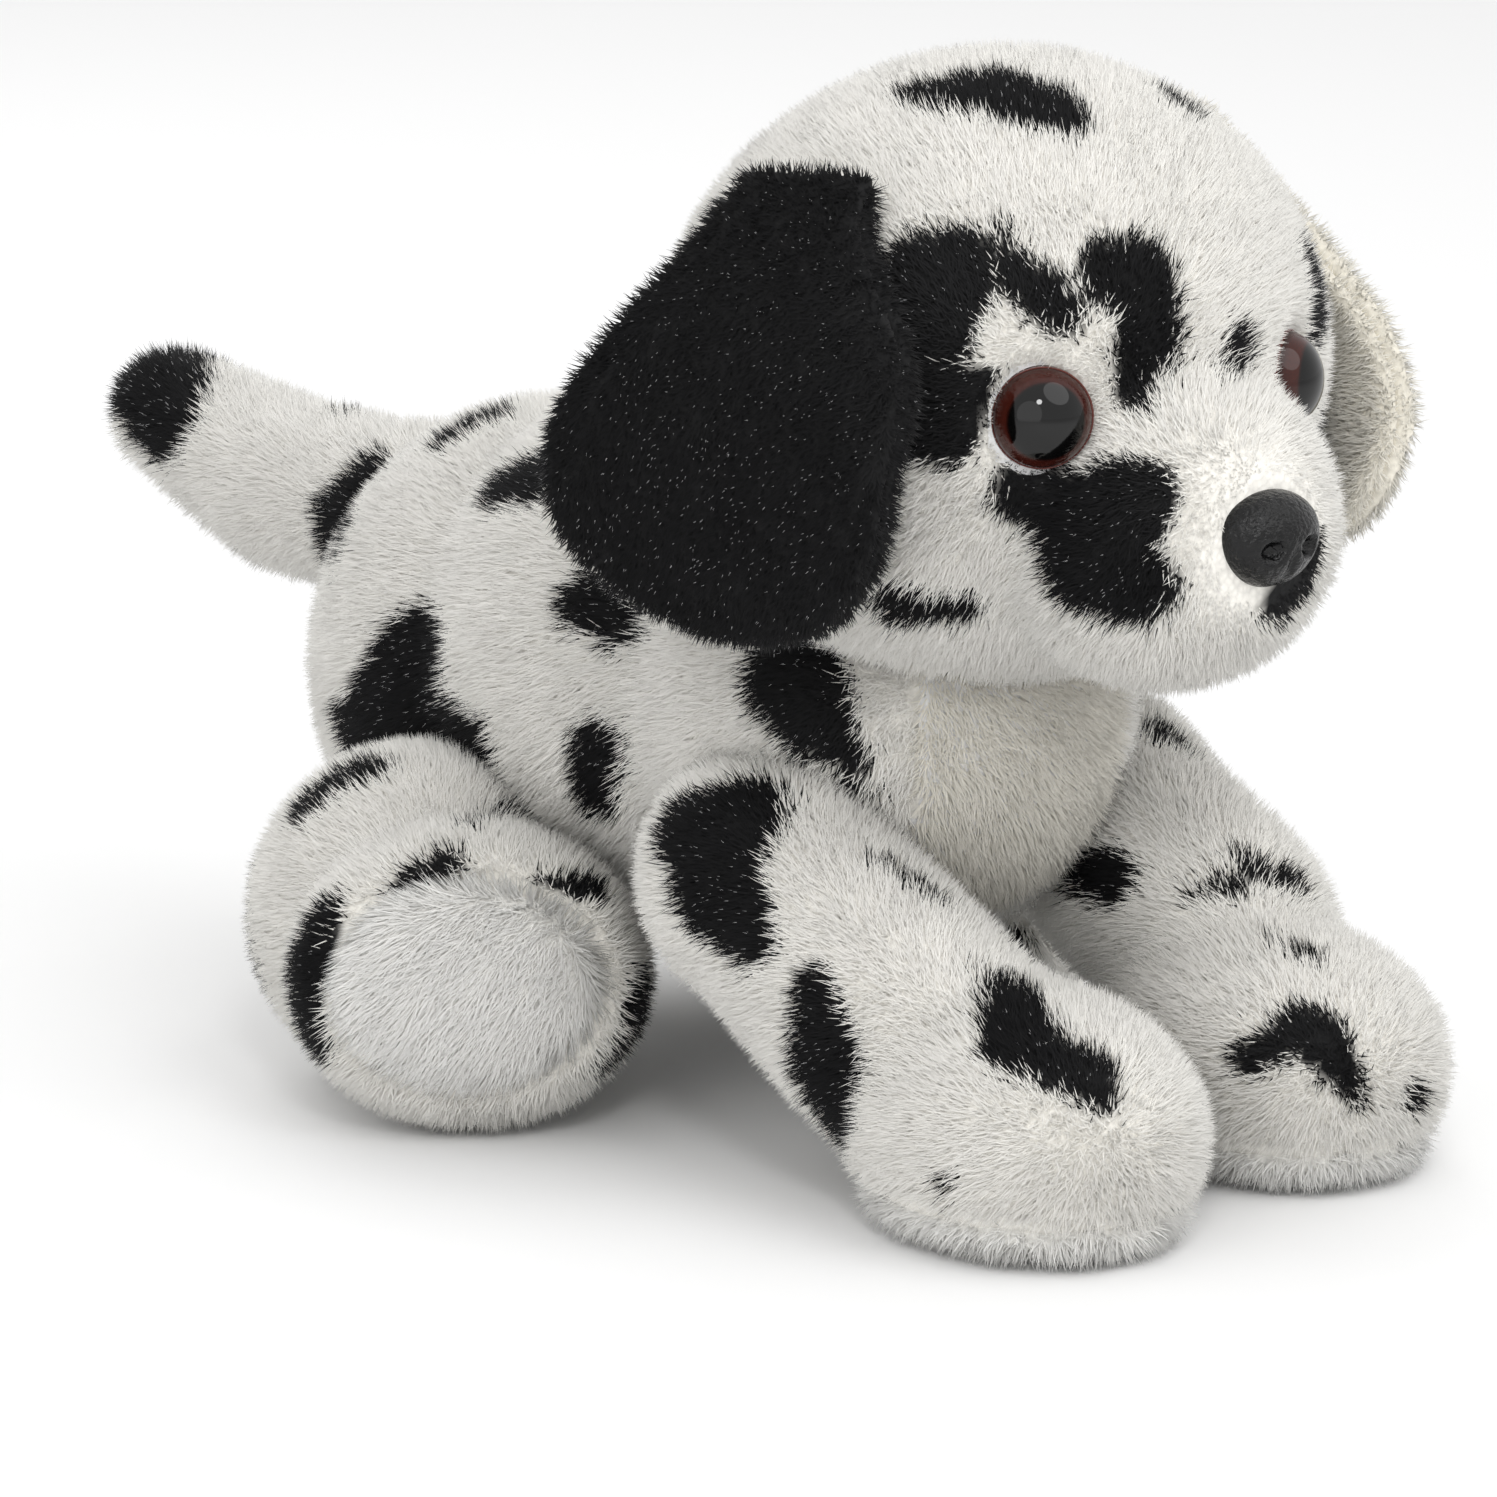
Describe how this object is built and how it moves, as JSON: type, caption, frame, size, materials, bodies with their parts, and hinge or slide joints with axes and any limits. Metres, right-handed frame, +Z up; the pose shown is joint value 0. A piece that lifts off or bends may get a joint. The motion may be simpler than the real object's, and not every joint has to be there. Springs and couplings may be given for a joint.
{
  "type": "plush dog",
  "caption": "Small lying plush puppy with spotted short fur, flap ears, plastic eyes and nose, fleece soles, and a head, ears, legs and tail that flex where they are sewn on.",
  "frame": {"origin": "on the floor, midway between the two ends and the two sides of the puppy", "axes": "+Z up, -Y the way the puppy looks, -X its own right side"},
  "size_m": [0.0994, 0.1759, 0.1016],
  "materials": {
    "spotted_plush": "short pile, white with black spots",
    "ivory_plush": "short pile, ivory",
    "black_plush": "short pile, black",
    "sole_fleece": "longer fleece, cream white",
    "fibre_stuffing": "loose polyester fibre",
    "pouch_cloth": "thin woven cloth",
    "clear_plastic": "polished, clear",
    "brown_plastic": "polished, dark red-brown",
    "black_plastic": "polished, black",
    "white_plastic": "moulded"
  },
  "bodies": {
    "torso": {"body_skin": "spotted_plush", "chest_panel": "ivory_plush", "body_stuffing": "fibre_stuffing", "bean_pouch": "pouch_cloth"},
    "neck": {"neck_stuffing": "fibre_stuffing"},
    "head": {"head_skin": "spotted_plush", "head_stuffing": "fibre_stuffing", "nose": "black_plastic", "nose_washer": "white_plastic", "eye_lens_left": "clear_plastic", "eye_iris_left": "brown_plastic", "eye_pupil_left": "black_plastic", "eye_washer_left": "white_plastic", "eye_lens_right": "clear_plastic", "eye_iris_right": "brown_plastic", "eye_pupil_right": "black_plastic", "eye_washer_right": "white_plastic"},
    "ear_left": {"ear_outer_left": "ivory_plush", "ear_lining_left": "ivory_plush"},
    "ear_right": {"ear_outer_right": "black_plush", "ear_lining_right": "black_plush"},
    "front_leg_left": {"front_leg_skin_left": "spotted_plush", "front_leg_sole_left": "sole_fleece", "front_leg_stuffing_left": "fibre_stuffing"},
    "hind_leg_left": {"hind_leg_skin_left": "spotted_plush", "hind_leg_sole_left": "sole_fleece", "hind_leg_stuffing_left": "fibre_stuffing"},
    "front_leg_right": {"front_leg_skin_right": "spotted_plush", "front_leg_sole_right": "sole_fleece", "front_leg_stuffing_right": "fibre_stuffing"},
    "hind_leg_right": {"hind_leg_skin_right": "spotted_plush", "hind_leg_sole_right": "sole_fleece", "hind_leg_stuffing_right": "fibre_stuffing"},
    "tail": {"tail_skin": "spotted_plush", "tail_stuffing": "fibre_stuffing"}
  },
  "joints": [
    {"name": "head_turn", "type": "hinge", "parent": "torso", "child": "neck", "pos_m": [0, -0.031, 0.0395], "axis": [0, 0, 1], "range_deg": [-18, 18], "stiffness_Nm_per_rad": 0.5},
    {"name": "head_nod", "type": "hinge", "parent": "neck", "child": "head", "pos_m": [0, -0.031, 0.0395], "axis": [-1, 0, 0], "range_deg": [-6, 8], "stiffness_Nm_per_rad": 1.2},
    {"name": "ear_flap_left", "type": "hinge", "parent": "head", "child": "ear_left", "pos_m": [0.02498, -0.0484, 0.09523], "axis": [-0.3697, -0.9291, 0], "range_deg": [0, 60], "stiffness_Nm_per_rad": 0.02},
    {"name": "ear_flap_right", "type": "hinge", "parent": "head", "child": "ear_right", "pos_m": [-0.02498, -0.0484, 0.09523], "axis": [-0.3697, 0.9291, 0], "range_deg": [0, 60], "stiffness_Nm_per_rad": 0.02},
    {"name": "front_leg_lift_left", "type": "hinge", "parent": "torso", "child": "front_leg_left", "pos_m": [0.02, -0.0385, 0.027], "axis": [-1, 0, 0], "range_deg": [-12, 24], "stiffness_Nm_per_rad": 0.8},
    {"name": "front_leg_lift_right", "type": "hinge", "parent": "torso", "child": "front_leg_right", "pos_m": [-0.02, -0.0385, 0.027], "axis": [-1, 0, 0], "range_deg": [-12, 24], "stiffness_Nm_per_rad": 0.8},
    {"name": "hind_leg_lift_left", "type": "hinge", "parent": "torso", "child": "hind_leg_left", "pos_m": [0.0275, 0.0035, 0.0165], "axis": [-1, 0, 0], "range_deg": [-8, 12], "stiffness_Nm_per_rad": 0.8},
    {"name": "hind_leg_lift_right", "type": "hinge", "parent": "torso", "child": "hind_leg_right", "pos_m": [-0.0275, 0.0035, 0.0165], "axis": [-1, 0, 0], "range_deg": [-8, 12], "stiffness_Nm_per_rad": 0.8},
    {"name": "tail_wag", "type": "hinge", "parent": "torso", "child": "tail", "pos_m": [0, 0.03828, 0.04585], "axis": [0, 0, 1], "range_deg": [-20, 20], "stiffness_Nm_per_rad": 0.05}
  ]
}
